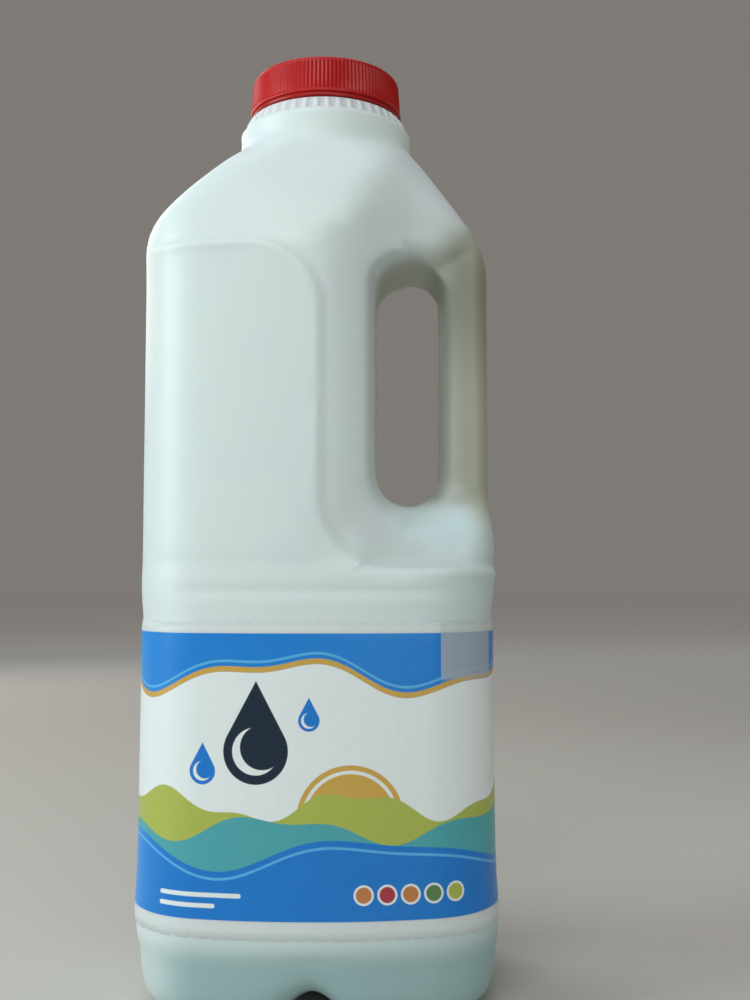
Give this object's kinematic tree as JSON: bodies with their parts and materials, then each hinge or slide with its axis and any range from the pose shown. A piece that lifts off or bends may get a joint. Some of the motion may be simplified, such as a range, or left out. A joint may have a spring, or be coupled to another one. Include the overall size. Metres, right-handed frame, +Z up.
{
  "type": "milk jug",
  "caption": "Filled white plastic milk jug with a moulded side handle, ribbed red screw cap and wrap-round film label.",
  "frame": {"origin": "centre of the overall box at the foot, on the surface that the jug stands on", "axes": "+Z up, -Y towards the front of the label, +X towards the handle"},
  "size_m": [0.0908, 0.0744, 0.2372],
  "materials": {
    "jug": "satin milky plastic",
    "cap": "semi-gloss moulded",
    "label": "printed film"
  },
  "bodies": {
    "root": {"jug": "jug", "cap": "cap", "label": "label"}
  },
  "joints": []
}
